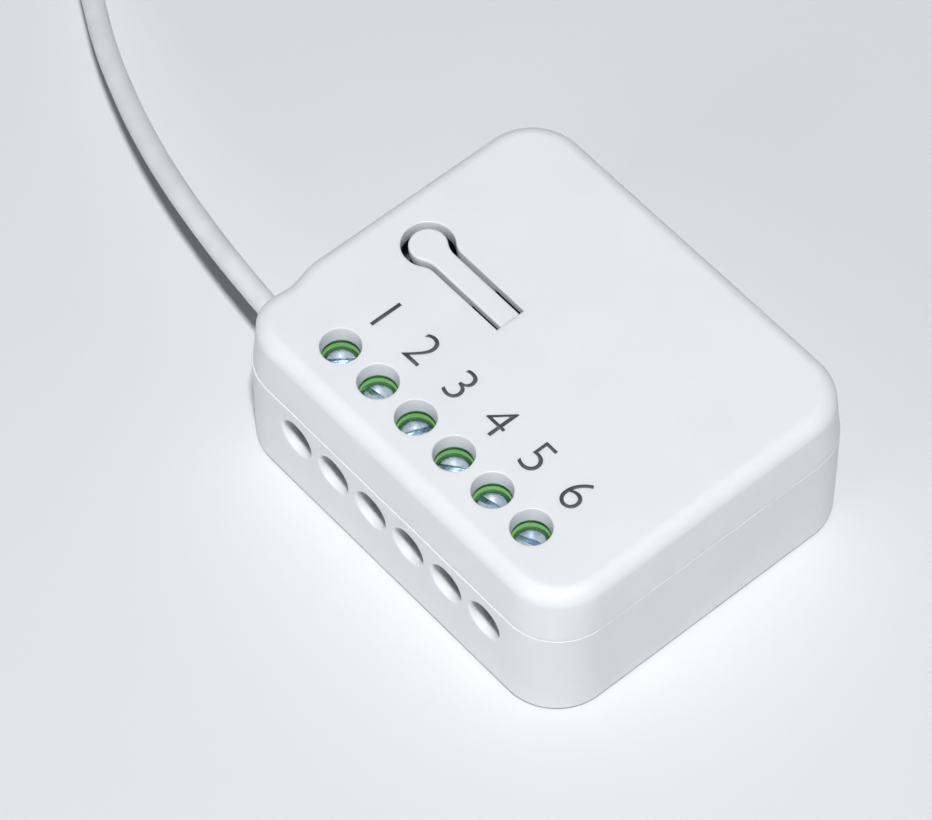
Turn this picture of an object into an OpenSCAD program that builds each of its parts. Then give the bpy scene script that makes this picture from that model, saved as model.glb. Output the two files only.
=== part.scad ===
// In-wall radio relay module: a two-part moulded case with a row of six screw terminals,
// a keyhole-shaped push tongue over a tact switch, and a wire aerial.
// X runs along the terminal row, Y from the terminal side to the back, Z up from the case's floor.

/* [Case] */
// case length along the terminal row, at the parting line
case_width = 44; // [42:0.5:52]
// case depth from the terminal side to the back, at the parting line
case_depth = 37; // [36:0.5:44]
// overall height
case_height = 17; // [16.5:0.1:20]
// corner radius at the parting line
corner_radius = 5.6; // [4.5:0.1:7]
// wall thickness at the parting line
wall = 1.5; // [1.3:0.1:1.8]
// floor thickness
floor_thick = 1.5; // [1.2:0.1:1.8]
// thickness of the cover's top
cover_thick = 1.6; // [1.4:0.1:1.8]
// height of the parting line
parting_height = 11.1; // [10.8:0.1:11.8]
// how far the cover's sides lean in up to the top
cover_draft = 0.44; // [0.1:0.02:0.6]
// how far the base's sides lean in down to the floor
base_draft = 0.3; // [0.1:0.05:0.6]
// fillet round the top edge
edge_fillet = 1.5; // [0.8:0.1:1.6]
// open line between cover and base
seam = 0.12; // [0.05:0.01:0.25]

/* [Lap joint and snaps] */
// thickness of the lip that rises from the base's wall
lip_thick = 0.6; // [0.5:0.05:0.7]
// height of that lip over the parting line
lip_height = 1.2; // [0.8:0.1:1.6]
// free gap beside the lip
lip_gap = 0.1; // [0.05:0.05:0.2]
// width of a snap hook
hook_width = 5; // [3:0.5:6]
// thickness of a snap hook
hook_thick = 1; // [0.8:0.1:1.2]
// depth of a hook's barb in its pocket
barb = 0.45; // [0.3:0.05:0.5]
// height of a barb
barb_height = 1.6; // [1.2:0.1:2]
// how far under the parting line a barb catches
barb_drop = 1.6; // [1.2:0.1:2]

/* [Terminals] */
// spacing of the terminals
pitch = 5.08; // [5.0:0.04:5.24]
// how far the row's middle lies from the case's middle
row_shift = 0.4; // [0:0.1:0.6]
// distance from the terminal side to the screws' axes
screw_inset = 5.45; // [5.3:0.05:5.8]
// radius of the screwdriver holes in the cover
driver_hole_radius = 1.9; // [1.8:0.05:2.1]
// radius of the wire ports
port_radius = 1.9; // [1.7:0.05:1.95]
// height of the wire ports' axes
port_height = 7.7; // [7.5:0.1:8.1]
// depth of a terminal block
block_depth = 8.2; // [7.8:0.1:9]
// radius of a screw's head
head_radius = 1.6; // [1.5:0.05:1.65]
// height of a screw's head
head_height = 1.35; // [1.1:0.05:1.5]
// radius of a screw's shank
shank_radius = 1.25; // [1:0.05:1.25]
// how far a cage rises when its screw is tightened
clamp_rise = 2; // [1.6:0.1:2]

/* [Push tongue] */
// distance from the case's left side to the pad's middle
pad_inset = 6.3; // [6:0.1:7]
// distance from the pad's middle to the tongue's root
tongue_length = 11.15; // [10:0.05:13]
// radius of the pad
pad_radius = 1.8; // [1.7:0.05:2]
// width of the arm
arm_width = 2.2; // [1.8:0.1:2.6]
// width of the slot beside the arm
slot = 0.5; // [0.4:0.05:0.6]
// width of the slot round the pad
pad_slot = 0.7; // [0.5:0.05:0.8]
// radius where the arm runs into the pad
neck_radius = 2.4; // [1.8:0.1:3]
// thickness of the tongue
tongue_thick = 1.2; // [1:0.1:1.4]
// length of the nub under the pad
nub_length = 1.3; // [1:0.1:1.6]
// free gap between the nub and the switch's plunger
press_gap = 0.1; // [0.05:0.05:0.2]

/* [Circuit board] */
// thickness of the board
board_thick = 1.6; // [1.4:0.1:1.7]
// height of the board's underside over the floor
standoff = 1.8; // [1.7:0.1:2]
// free gap round the board
board_gap = 0.4; // [0.3:0.05:0.6]
// radius of the posts that carry the board
post_radius = 1.5; // [1.3:0.1:1.7]
// radius of the pins that place the board
pin_radius = 0.8; // [0.6:0.05:0.9]
// distance from the inner walls at the sides to the back posts
post_inset_x = 3.1; // [2.8:0.1:3.4]
// distance from the back's inner wall to the back posts
post_inset_y = 2.8; // [2.6:0.1:3.2]
// distance from the terminal side's inner wall to the front posts
post_inset_front = 3.5; // [3.4:0.05:3.6]

/* [Relay] */
// length of the relay
relay_length = 20; // [19:0.1:20.5]
// width of the relay
relay_width = 10; // [9.6:0.1:10.4]
// free height over the relay
relay_clear = 0.5; // [0.3:0.1:0.8]
// wall of the relay's cover
relay_wall = 0.8; // [0.6:0.05:0.9]
// distance from the right inner wall to the relay
relay_inset_x = 1.4; // [1.2:0.1:1.8]
// distance from the back inner wall to the relay
relay_inset_y = 4.4; // [4.2:0.1:4.8]
// free gap between the winding and the relay's floor and yoke
coil_gap = 0.5; // [0.4:0.05:0.8]

/* [Radio and supply] */
// width of the radio board
radio_width = 10; // [9:0.5:10.5]
// length of the radio board
radio_length = 9.2; // [8:0.2:9.4]
// thickness of the radio board
radio_thick = 0.8; // [0.6:0.1:1]
// height of the radio's shield can
shield_height = 1.8; // [1.4:0.1:2]
// length of the transformer
transformer_length = 9; // [8:0.5:9.5]
// width of the transformer
transformer_width = 6.2; // [5.8:0.2:6.4]
// height of the transformer
transformer_height = 8; // [7:0.5:8.5]
// radius of the bulk capacitor
bulk_radius = 3.15; // [2.5:0.05:3.2]
// length of the bulk capacitor
bulk_length = 11; // [9:0.5:11.5]
// radius of the output capacitor
output_radius = 2; // [1.6:0.1:2.1]
// height of the output capacitor
output_height = 7; // [5:0.5:8]
// radius of the varistor
varistor_radius = 3.4; // [2.5:0.1:3.5]
// thickness of the varistor
varistor_thick = 2.6; // [2:0.1:2.8]

/* [Aerial] */
// radius of the aerial's sleeve
aerial_radius = 1.1; // [1:0.05:1.2]
// free gap round the aerial in the case's wall
aerial_gap = 0.15; // [0.1:0.05:0.2]
// distance from the terminal side to the aerial
aerial_inset = 7.2; // [7:0.1:7.6]
// height of the aerial's axis where it leaves the case
aerial_height = 7.9; // [7.5:0.1:8.3]
// radius of the bare conductor
conductor_radius = 0.45; // [0.3:0.05:0.5]
// depth of the relief groove over the aerial
relief_depth = 0.5; // [0.3:0.05:0.55]
// width of that groove
relief_width = 3.2; // [2.6:0.1:3.6]

/* [Hidden] */
$fn = 64;
// overlap that makes a cut or a fused joint clean
over = 0.2;
// gap between a pin and its hole in the board
pin_gap = 0.1;
// radius of the components' round solder pins
lead_radius = 0.35;
// length of a solder pin under the board
lead_tail = 1.2;

// middles of the corner rounds
corner_x = case_width / 2 - corner_radius;
corner_y = case_depth / 2 - corner_radius;
inner_x = case_width / 2 - wall;
inner_y = case_depth / 2 - wall;
cover_under = case_height - cover_thick;
lip_top = parting_height + lip_height;
board_z = floor_thick + standoff;
board_top = board_z + board_thick;
headroom = cover_under - board_top;
pillar_radius = pin_radius + 0.4;

// terminal stack, from the board up
block_gap = 0.1;
block_front_gap = 0.4;
block_floor = 0.5;
block_y = -inner_y + block_front_gap;
block_top = cover_under - block_gap;
screw_y = -case_depth / 2 + screw_inset;
cage_gap = 0.15;
cage_width = 3.7;
cage_length = 4.2;
cage_side = 0.45;
cage_floor = 0.5;
cage_plate = 1;
cage_seat = 0.05;
cage_z = board_top + block_floor + cage_seat;
bar_thick = 0.5;
bar_width = 2.2;
bar_z = port_height + 1.3;
bar_top = bar_z + bar_thick;
cage_top = bar_top + cage_gap + cage_plate;
cavity_width = cage_width + 2 * cage_gap;
cavity_length = cage_length + 2 * cage_gap;
cavity_end = screw_y + cavity_length / 2;
ledge_z = cage_top + clamp_rise + 0.2;
ledge_thick = 0.65;
head_z = ledge_z + ledge_thick + cage_seat;
well_radius = head_radius + 0.15;
well_rim = 0.45;
well_rim_depth = 0.8;
leg_thick = 0.6;
leg_y = cavity_end + 1.2;
solder_width = 1;
slot_angles = [52, 8, 68, 38, 12, 24];

// push tongue and the switch under it
pad_x = -case_width / 2 + pad_inset;
root_x = pad_x + tongue_length;
tongue_under = case_height - tongue_thick;
nub_radius = 1.1;
tact_width = 6;
tact_height = 3.5;
tact_frame_thick = 0.3;
tact_wall = 0.9;
stem_radius = 1.7;
stem_gap = 0.15;
flange_radius = 2;
flange_thick = 0.8;
tact_leg_x = 3.25;
tact_leg_y = 2.25;
tact_leg_width = 0.7;
tact_leg_thick = 0.3;
plunger_top = tongue_under - nub_length - press_gap;
plunger_low = board_top + 2;

// relay, in its own frame: origin at its middle on the board
relay_height = headroom - relay_clear;
relay_x = inner_x - relay_inset_x - relay_length / 2;
relay_y = inner_y - relay_inset_y - relay_width / 2;
relay_floor = 1.2;
relay_gap = 0.1;
coil_start = -7.2;
coil_end = 2;
cheek = 0.6;
cheek_rim = 0.6;
cheek_top_gap = 0.5;
pole_face = coil_end + 0.6;
yoke_thick = 0.8;
yoke_top = relay_height - relay_wall - 0.6;
yoke_under = yoke_top - yoke_thick;
coil_height = (relay_floor + yoke_under) / 2;
winding_radius = (yoke_under - relay_floor) / 2 - coil_gap;
core_radius = 0.42 * winding_radius;
pole_radius = 0.6 * winding_radius;
yoke_front = pole_face + 0.6;
yoke_half = 3;
armature_gap = 0.15;
armature_x = yoke_front + armature_gap;
armature_low = 3.1;
leaf_thick = 0.2;
leaf_x = armature_x + yoke_thick;
contact_drop = 2.2;
contact_radius = 0.6;
contact_thick = 0.2;
contact_gap = 0.75;
fixed_thick = 0.3;
fixed_x = leaf_x - contact_gap - 2 * contact_thick - fixed_thick;
relay_lead_x = [-8.8, 7.6];
relay_lead_y = 3;

// radio and supply parts
supply_gap = 0.5;
radio_x = -inner_x + 4.6;
radio_y = inner_y - 1.4 - radio_length;
radio_lift = 0.6;
radio_pad = 1.2;
radio_collar = 0.7;
radio_pins_count = 5;
supply_y = block_y + block_depth + supply_gap;
transformer_foot = 1.2;
transformer_leg = 1.4;
transformer_x = pad_x + tact_leg_x + tact_leg_thick / 2 + supply_gap;
bulk_reach = 1.2;
bulk_x = transformer_x + transformer_length + supply_gap + lead_radius + bulk_reach;
groove_radius = 0.4;
groove_place = 1.6;
varistor_x = inner_x - 3.6;
output_gap = 0.3;
output_x = transformer_x + transformer_length / 2;
output_y = supply_y + transformer_width + output_gap + output_radius;
fuse_x = relay_x - 5.4;
fuse_y = inner_y - 2.3;
fuse_radius = 1;
fuse_length = 6;
bridge_x = relay_x + 2.2;
bridge_length = 4.7;
bridge_width = 2.6;
bridge_height = 1.5;

// where the components' leads go through the board
bulk_y = supply_y + bulk_radius;
bulk_lead = 1.25;
output_lead = 1;
varistor_y = supply_y + varistor_radius;
varistor_lead = 2.5;
fuse_lead = fuse_length / 2 + 1;
transformer_inset = 1.2;
transformer_leads_x = [transformer_x + transformer_inset,
    transformer_x + transformer_length - transformer_inset];
transformer_leads_y = [supply_y + transformer_inset, supply_y + transformer_width - transformer_inset];
radio_step = (radio_length - 2 * radio_pad) / (radio_pins_count - 1);

// aerial
aerial_y = -case_depth / 2 + aerial_inset;
aerial_end = -inner_x + 1;
solder_x = aerial_end + 1.2;
relief_radius = (relief_width * relief_width / 4 + relief_depth * relief_depth) / (2 * relief_depth);
cord_sides = 8;
cord_points = [[-case_width / 2, aerial_y, aerial_height],
    [-24.68, -11.19, 7.85], [-28.18, -10.82, 7.75], [-32.34, -10.28, 7.6], [-36.96, -9.5, 7.35],
    [-41.92, -8.47, 7], [-47.87, -6.88, 6.5], [-54.59, -4.55, 5.9], [-60.01, -2.26, 5.35],
    [-64.65, 0.14, 4.8], [-69.6, 2.92, 4.1], [-74.53, 6.04, 3.3], [-79.34, 9.52, 2.5],
    [-83.83, 13.28, 1.8], [-87.99, 17.43, 1.3], [-91.5, 21.7, 1.15]];

function way_x(i) = row_shift + (i - 3.5) * pitch;
// front posts stand midway between the terminal row's ends and the inner walls, back posts in the corners
posts = [[(way_x(1) - pitch / 2 - inner_x) / 2, post_inset_front - inner_y],
    [(way_x(6) + pitch / 2 + inner_x) / 2, post_inset_front - inner_y],
    [post_inset_x - inner_x, inner_y - post_inset_y], [inner_x - post_inset_x, inner_y - post_inset_y]];
function radio_lead_y(k) = radio_y + radio_pad + (k - 1) * radio_step;
function unit(v) = v / norm(v);

// sweeps a wall profile round the case's outline and closes the middle between two heights
module swept_shell(low, high) {
    for (turn = [0 : 3]) {
        sx = (turn == 0 || turn == 3) ? 1 : -1;
        sy = turn < 2 ? 1 : -1;
        translate([sx * corner_x, sy * corner_y, 0]) rotate(90 * turn) rotate_extrude(angle = 90) children();
    }
    for (side = [0, 1]) {
        mirror([side, 0, 0]) translate([corner_x, corner_y, 0]) rotate([90, 0, 0])
            linear_extrude(2 * corner_y) children();
        mirror([0, side, 0]) translate([-corner_x, corner_y, 0]) rotate([90, 0, 90])
            linear_extrude(2 * corner_x) children();
    }
    translate([-corner_x, -corner_y, low]) cube([2 * corner_x, 2 * corner_y, high - low]);
}

// half section of the base: floor, leaning wall and lip, from a corner's middle outward
module base_profile() {
    inside = corner_radius - wall;
    polygon([[0, 0], [corner_radius - base_draft, 0], [corner_radius, parting_height],
        [inside + lip_thick, parting_height], [inside + lip_thick, lip_top], [inside, lip_top],
        [inside, floor_thick], [0, floor_thick]]);
}

// half section of the cover: rebate, leaning wall, filleted edge and top
module cover_profile() {
    inside = corner_radius - wall;
    low = parting_height + seam;
    lean = cover_draft / (case_height - parting_height);
    stretch = sqrt(1 + lean * lean);
    middle_z = case_height - edge_fillet;
    middle_x = corner_radius - lean * (middle_z - parting_height) - edge_fillet * stretch;
    union() {
        polygon([[inside + lip_thick + lip_gap, low], [corner_radius - lean * seam, low],
            [middle_x + edge_fillet / stretch, middle_z + edge_fillet * lean / stretch],
            [middle_x, middle_z], [middle_x, case_height], [0, case_height], [0, cover_under],
            [inside, cover_under], [inside, lip_top], [inside + lip_thick + lip_gap, lip_top]]);
        translate([middle_x, middle_z]) intersection() {
            circle(edge_fillet);
            square(edge_fillet);
        }
    }
}

// places a snap hook or its pocket against the inner walls, outward along the local X
module at_snaps() {
    translate([inner_x, 0, 0]) children();
    translate([-inner_x, 5.5, 0]) rotate(180) children();
    for (x = [-9, 9]) translate([x, inner_y, 0]) rotate(90) children();
}

module snap_hook() {
    top = parting_height - barb_drop;
    low = top - barb_height;
    back = -cage_gap - hook_thick;
    translate([0, hook_width / 2, 0]) rotate([90, 0, 0]) linear_extrude(hook_width)
        polygon([[back, low], [-cage_gap, low], [barb, low + 0.4 * barb_height], [barb, top],
            [-cage_gap, top], [-cage_gap, lip_top + seam], [over, lip_top + seam], [over, cover_under + over],
            [back, cover_under + over]]);
}

module snap_pocket() {
    top = parting_height - barb_drop + lip_gap;
    low = parting_height - barb_drop - barb_height - over;
    width = hook_width + 0.6;
    translate([-over, -width / 2, low]) cube([over + barb + 0.25, width, top - low]);
}

module at_posts() {
    for (place = posts) translate(place) children();
}

// upright groove in the left side, over the aerial
module relief_cut() {
    x = -case_width / 2 + relief_depth - relief_radius;
    translate([x, aerial_y, aerial_height]) cylinder(r = relief_radius, h = case_height);
}

module case_base() {
    color("whitesmoke") difference() {
        union() {
            swept_shell(0, floor_thick) base_profile();
            at_posts() translate([0, 0, floor_thick - over])
                cylinder(r = post_radius, h = standoff + over);
            at_posts() translate([0, 0, floor_thick])
                cylinder(r = pin_radius, h = standoff + board_thick - over);
        }
        for (i = [1 : 6]) translate([way_x(i), -case_depth / 2 - 1, port_height]) rotate([-90, 0, 0])
            cylinder(r = port_radius, h = wall + 1 + over);
        translate([-case_width / 2 - 1, aerial_y, aerial_height]) rotate([0, 90, 0])
            cylinder(r = aerial_radius + aerial_gap, h = wall + 1 + over);
        relief_cut();
        at_snaps() snap_pocket();
    }
}

// keyhole outline on the case's middle line: round pad, straight arm and blended neck,
// whose circles lap over the pad and the arm by a hair
module keyhole(pad, half, blend) {
    lap = 0.01;
    rise = half + blend - lap;
    reach = sqrt(pow(pad + blend - lap, 2) - pow(rise, 2));
    circle(pad);
    translate([0, -half]) square([tongue_length, 2 * half]);
    for (side = [0, 1]) mirror([0, side]) difference() {
        polygon([[0, 0], [reach, 0], [reach, rise]]);
        translate([reach, rise]) circle(blend);
    }
}

module case_cover() {
    color("white") difference() {
        union() {
            swept_shell(cover_under, case_height) cover_profile();
            at_posts() translate([0, 0, board_top])
                cylinder(r = pillar_radius, h = headroom + over);
            at_snaps() snap_hook();
        }
        for (i = [1 : 6]) translate([way_x(i), screw_y, cover_under - 1])
            cylinder(r = driver_hole_radius, h = cover_thick + 2);
        translate([pad_x, 0, cover_under - 1]) linear_extrude(cover_thick + 2)
            keyhole(pad_radius + pad_slot, arm_width / 2 + slot, neck_radius - slot);
        relief_cut();
    }
}

module push_tongue() {
    color("white") {
        translate([pad_x, 0, tongue_under]) linear_extrude(tongue_thick)
            keyhole(pad_radius, arm_width / 2, neck_radius);
        translate([pad_x, 0, tongue_under - nub_length])
            cylinder(r = nub_radius, h = nub_length + over);
    }
}

// flat plate with round corners
module rounded_plate(width, depth, radius, thick) {
    linear_extrude(thick) {
        square([width - 2 * radius, depth], center = true);
        square([width, depth - 2 * radius], center = true);
        for (x = [-1, 1], y = [-1, 1]) translate([x * (width / 2 - radius), y * (depth / 2 - radius)])
            circle(radius);
    }
}

// hole through the board for a round solder pin
module lead_hole(x, y, radius) {
    translate([x, y, board_z - over]) cylinder(r = radius + pin_gap, h = board_thick + 2 * over);
}

// round solder pin from a component's underside through the board
module lead(x, y, top) {
    translate([x, y, board_z - lead_tail]) cylinder(r = lead_radius, h = top - board_z + lead_tail);
}

module at_relay_leads() {
    for (x = relay_lead_x, y = [-relay_lead_y, relay_lead_y]) translate([x, y, 0]) children();
}

module circuit_board() {
    color("darkgreen") difference() {
        translate([0, 0, board_z])
            rounded_plate(2 * (inner_x - board_gap), 2 * (inner_y - board_gap),
                corner_radius - wall, board_thick);
        at_posts() lead_hole(0, 0, pin_radius);
        for (i = [1 : 6]) lead_hole(way_x(i), leg_y, solder_width * 0.6);
        for (x = [-1, 1], y = [-1, 1])
            lead_hole(pad_x + x * tact_leg_x, y * tact_leg_y, tact_leg_width * 0.6);
        translate([relay_x, relay_y, 0]) at_relay_leads() lead_hole(0, 0, lead_radius);
        translate([relay_x, relay_y, 0]) lead_hole(fixed_x + fixed_thick / 2, 0, lead_radius);
        for (k = [1 : radio_pins_count]) lead_hole(radio_x + radio_pad, radio_lead_y(k), lead_radius);
        for (x = transformer_leads_x, y = transformer_leads_y) lead_hole(x, y, lead_radius);
        for (y = [-1, 1]) {
            lead_hole(bulk_x - bulk_reach, bulk_y + y * bulk_lead, lead_radius);
            lead_hole(output_x, output_y + y * output_lead, lead_radius);
            lead_hole(varistor_x, varistor_y + y * varistor_lead, lead_radius);
            lead_hole(fuse_x + y * fuse_lead, fuse_y, lead_radius);
        }
        lead_hole(solder_x, aerial_y, conductor_radius);
    }
}

// three-way terminal block from its first way on
module terminal_block(first) {
    port_open = 2 * port_radius + 0.2;
    difference() {
        translate([way_x(first) - pitch / 2, block_y, board_top])
            cube([3 * pitch, block_depth, block_top - board_top]);
        for (i = [first : first + 2]) translate([way_x(i), 0, 0]) {
            translate([-cavity_width / 2, screw_y - cavity_length / 2, board_top + block_floor])
                cube([cavity_width, cavity_length, ledge_z - board_top - block_floor]);
            translate([-port_open / 2, block_y - 1, port_height - port_open / 2])
                cube([port_open, screw_y - block_y + 1, port_open]);
            translate([0, screw_y, ledge_z - over])
                cylinder(r = shank_radius + 0.2, h = ledge_thick + 2 * over);
            translate([0, screw_y, ledge_z + ledge_thick]) cylinder(r = well_radius, h = case_height);
            translate([0, screw_y, block_top - well_rim_depth])
                cylinder(r = well_radius + well_rim, h = case_height);
            translate([-bar_width / 2 - pin_gap, cavity_end - over, board_top - over])
                cube([bar_width + 2 * pin_gap, leg_y + leg_thick / 2 + pin_gap - cavity_end + over,
                    bar_top + pin_gap - board_top + over]);
        }
    }
}

module terminal_block_left() { color("limegreen") terminal_block(1); }

module terminal_block_right() { color("limegreen") terminal_block(4); }

// bent contact of each way: bar through the cage, leg down the block's back and solder pin
module terminal_contacts() {
    start = screw_y - cage_length / 2 + 0.3;
    color("goldenrod") for (i = [1 : 6]) translate([way_x(i), 0, 0]) {
        translate([-bar_width / 2, start, bar_z]) cube([bar_width, leg_y + leg_thick / 2 - start, bar_thick]);
        translate([-bar_width / 2, leg_y - leg_thick / 2, board_top])
            cube([bar_width, leg_thick, bar_top - board_top]);
        translate([-solder_width / 2, leg_y - leg_thick / 2, board_z - lead_tail])
            cube([solder_width, leg_thick, board_thick + lead_tail + over]);
    }
}

// slotted clamp screw, turned to the angle at which its slot lies
module terminal_screw(i) {
    slot_width = 0.55;
    slot_depth = 0.7;
    bevel = 0.2;
    low = bar_top + cage_gap;
    color("silver") translate([way_x(i), screw_y, 0]) difference() {
        union() {
            translate([0, 0, low]) cylinder(r1 = shank_radius - bevel, r2 = shank_radius, h = bevel);
            translate([0, 0, low + bevel]) cylinder(r = shank_radius, h = head_z - low);
            translate([0, 0, head_z]) cylinder(r = head_radius, h = head_height - bevel);
            translate([0, 0, head_z + head_height - bevel])
                cylinder(r1 = head_radius, r2 = head_radius - bevel, h = bevel);
        }
        translate([0, 0, head_z + head_height - slot_depth]) rotate(slot_angles[i - 1])
            translate([-2 * head_radius, -slot_width / 2, 0])
                cube([4 * head_radius, slot_width, 2 * slot_depth]);
    }
}

// rising cage: open loop round the contact bar, with the screw's hole in its top plate
module wire_cage(i) {
    color("lightsteelblue") translate([way_x(i), screw_y, 0]) difference() {
        translate([-cage_width / 2, -cage_length / 2, cage_z])
            cube([cage_width, cage_length, cage_top - cage_z]);
        translate([cage_side - cage_width / 2, -cage_length, cage_z + cage_floor])
            cube([cage_width - 2 * cage_side, 2 * cage_length, cage_top - cage_plate - cage_z - cage_floor]);
        translate([0, 0, bar_top]) cylinder(r = shank_radius + pin_gap, h = case_height);
    }
}

module tact_housing() {
    color("dimgray") translate([pad_x, 0, board_top]) difference() {
        translate([-tact_width / 2, -tact_width / 2, 0]) cube([tact_width, tact_width, tact_height]);
        translate([0, 0, 1.2]) cylinder(r = tact_width / 2 - tact_wall + 0.2, h = tact_height);
    }
}

module tact_frame() {
    color("silver") translate([pad_x, 0, board_top + tact_height]) difference() {
        translate([-tact_width / 2, -tact_width / 2, 0]) cube([tact_width, tact_width, tact_frame_thick]);
        translate([0, 0, -1]) cylinder(r = stem_radius + stem_gap, h = 2);
    }
}

// stem under the nub, held by its flange under the frame
module tact_plunger() {
    flange_z = board_top + tact_height - cage_seat - flange_thick;
    color("black") translate([pad_x, 0, 0]) {
        translate([0, 0, plunger_low]) cylinder(r = stem_radius - 0.3, h = plunger_top - plunger_low);
        translate([0, 0, flange_z]) cylinder(r = flange_radius, h = flange_thick);
        translate([0, 0, flange_z]) cylinder(r = stem_radius, h = plunger_top - flange_z - over);
    }
}

module tact_legs() {
    color("silver") for (x = [-1, 1], y = [-1, 1])
        translate([pad_x + x * tact_leg_x, y * tact_leg_y, 0]) {
            translate([-tact_leg_thick / 2, -tact_leg_width / 2, board_z - lead_tail])
                cube([tact_leg_thick, tact_leg_width, board_thick + lead_tail + 1]);
        }
}

module at_relay() {
    translate([relay_x, relay_y, board_top]) children();
}

module relay_base() {
    length = relay_length - 2 * relay_wall - 2 * relay_gap;
    width = relay_width - 2 * relay_wall - 2 * relay_gap;
    color("black") at_relay() difference() {
        translate([-length / 2, -width / 2, 0]) cube([length, width, relay_floor]);
        at_relay_leads() translate([0, 0, -1]) cylinder(r = lead_radius + pin_gap, h = relay_floor + 2);
        translate([fixed_x + fixed_thick / 2 - lead_radius - pin_gap, -contact_radius - pin_gap, -1])
            cube([2 * lead_radius + 2 * pin_gap, 2 * contact_radius + 2 * pin_gap, relay_floor + 2]);
    }
}

module relay_cover() {
    color("royalblue") at_relay() difference() {
        translate([-relay_length / 2, -relay_width / 2, 0]) cube([relay_length, relay_width, relay_height]);
        translate([relay_wall - relay_length / 2, relay_wall - relay_width / 2, -1])
            cube([relay_length - 2 * relay_wall, relay_width - 2 * relay_wall,
                relay_height - relay_wall + 1]);
    }
}

// bobbin cheeks and winding round the core
module relay_coil() {
    half = winding_radius + cheek_rim;
    color("peru") at_relay() difference() {
        union() {
            translate([coil_start, 0, coil_height]) rotate([0, 90, 0])
                cylinder(r = winding_radius, h = coil_end - coil_start);
            for (x = [coil_start, coil_end - cheek]) translate([x, -half, relay_floor])
                cube([cheek, 2 * half, yoke_under - cheek_top_gap - relay_floor]);
        }
        translate([coil_start - cheek, 0, coil_height]) rotate([0, 90, 0])
            cylinder(r = core_radius + pin_gap, h = relay_length);
    }
}

// core with its pole head, and the yoke that runs from its back over the coil
module relay_core() {
    color("gray") at_relay() {
        translate([coil_start - yoke_thick, 0, coil_height]) rotate([0, 90, 0])
            cylinder(r = core_radius, h = coil_end - coil_start + yoke_thick + over);
        translate([coil_end + pin_gap, 0, coil_height]) rotate([0, 90, 0])
            cylinder(r = pole_radius, h = pole_face - coil_end - pin_gap);
        translate([coil_start - pin_gap - yoke_thick, -yoke_half, relay_floor])
            cube([yoke_thick, 2 * yoke_half, yoke_top - relay_floor]);
        translate([coil_start - pin_gap - yoke_thick, -yoke_half, yoke_top - yoke_thick])
            cube([yoke_front - coil_start + pin_gap + yoke_thick, 2 * yoke_half, yoke_thick]);
    }
}

// plate that tilts at the yoke's front edge onto the pole
module relay_armature() {
    color("darkgray") at_relay() translate([armature_x, -yoke_half, armature_low])
        cube([yoke_thick, 2 * yoke_half, yoke_top - armature_low]);
}

// leaf on the armature's front with the moving contact at its free end
module relay_contact_leaf() {
    color("goldenrod") at_relay() {
        translate([leaf_x, -1, contact_drop - contact_radius - 0.1])
            cube([leaf_thick, 2, yoke_top - 1.2 - contact_drop]);
        translate([leaf_x - contact_thick, 0, contact_drop]) rotate([0, 90, 0])
            cylinder(r = contact_radius, h = contact_thick + leaf_thick / 2);
    }
}

// standing blade with the fixed contact, and its solder pin
module relay_fixed_contact() {
    color("goldenrod") {
        at_relay() translate([fixed_x, -contact_radius, 0])
            cube([fixed_thick, 2 * contact_radius, contact_drop + contact_radius + 0.1]);
        at_relay() translate([fixed_x + fixed_thick - over / 2, 0, contact_drop]) rotate([0, 90, 0])
            cylinder(r = contact_radius - 0.05, h = contact_thick + over / 2);
        translate([relay_x, relay_y, 0]) lead(fixed_x + fixed_thick / 2, 0, board_top + over);
    }
}

module relay_pins() {
    color("silver") translate([relay_x, relay_y, 0]) at_relay_leads()
        lead(0, 0, board_top + relay_floor + 0.6);
}

module radio_board() {
    color("steelblue") difference() {
        translate([radio_x, radio_y, board_top + radio_lift]) cube([radio_width, radio_length, radio_thick]);
        for (k = [1 : radio_pins_count]) translate([radio_x + radio_pad, radio_lead_y(k), board_top])
            cylinder(r = lead_radius + pin_gap, h = radio_lift + 2 * radio_thick);
    }
}

// folded can with open underside
module radio_shield() {
    start = 2 * radio_pad;
    length = radio_width - start - radio_pad / 2;
    width = radio_length - radio_pad;
    skin = 0.2;
    low = board_top + radio_lift + radio_thick;
    color("silver") translate([radio_x + start, radio_y + radio_pad / 2, low]) difference() {
        cube([length, width, shield_height]);
        translate([skin, skin, -1]) cube([length - 2 * skin, width - 2 * skin, shield_height + 1 - skin]);
    }
}

// header that carries the radio board: one solder pin and its collar for each pad
module radio_pins() {
    color("silver") for (k = [1 : radio_pins_count]) {
        lead(radio_x + radio_pad, radio_lead_y(k), board_top + 2 * radio_lift + radio_thick);
        translate([radio_x + radio_pad, radio_lead_y(k), board_top])
            cylinder(r = radio_collar, h = radio_lift);
    }
}

// two-legged ferrite frame round the winding
module transformer_core() {
    height = transformer_height - transformer_foot;
    inset = transformer_leg / 2;
    color("dimgray") translate([transformer_x, supply_y + inset, board_top + transformer_foot]) difference() {
        cube([transformer_length, transformer_width - 2 * inset, height]);
        translate([transformer_leg, -inset, transformer_leg])
            cube([transformer_length - 2 * transformer_leg, transformer_width, height - 2 * transformer_leg]);
    }
}

// bobbin foot and taped winding in the frame's window
module transformer_coil() {
    leg = transformer_leg + pin_gap;
    color("khaki") {
        translate([transformer_x + leg, supply_y + pin_gap, board_top + transformer_foot + leg])
            cube([transformer_length - 2 * leg, transformer_width - 2 * pin_gap,
                transformer_height - transformer_foot - 2 * leg]);
        translate([transformer_x, supply_y, board_top]) difference() {
            cube([transformer_length, transformer_width, transformer_foot]);
            for (x = transformer_leads_x, y = transformer_leads_y)
                translate([x - transformer_x, y - supply_y, -over])
                    cylinder(r = lead_radius + pin_gap, h = transformer_foot + 2 * over);
        }
    }
}

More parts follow.
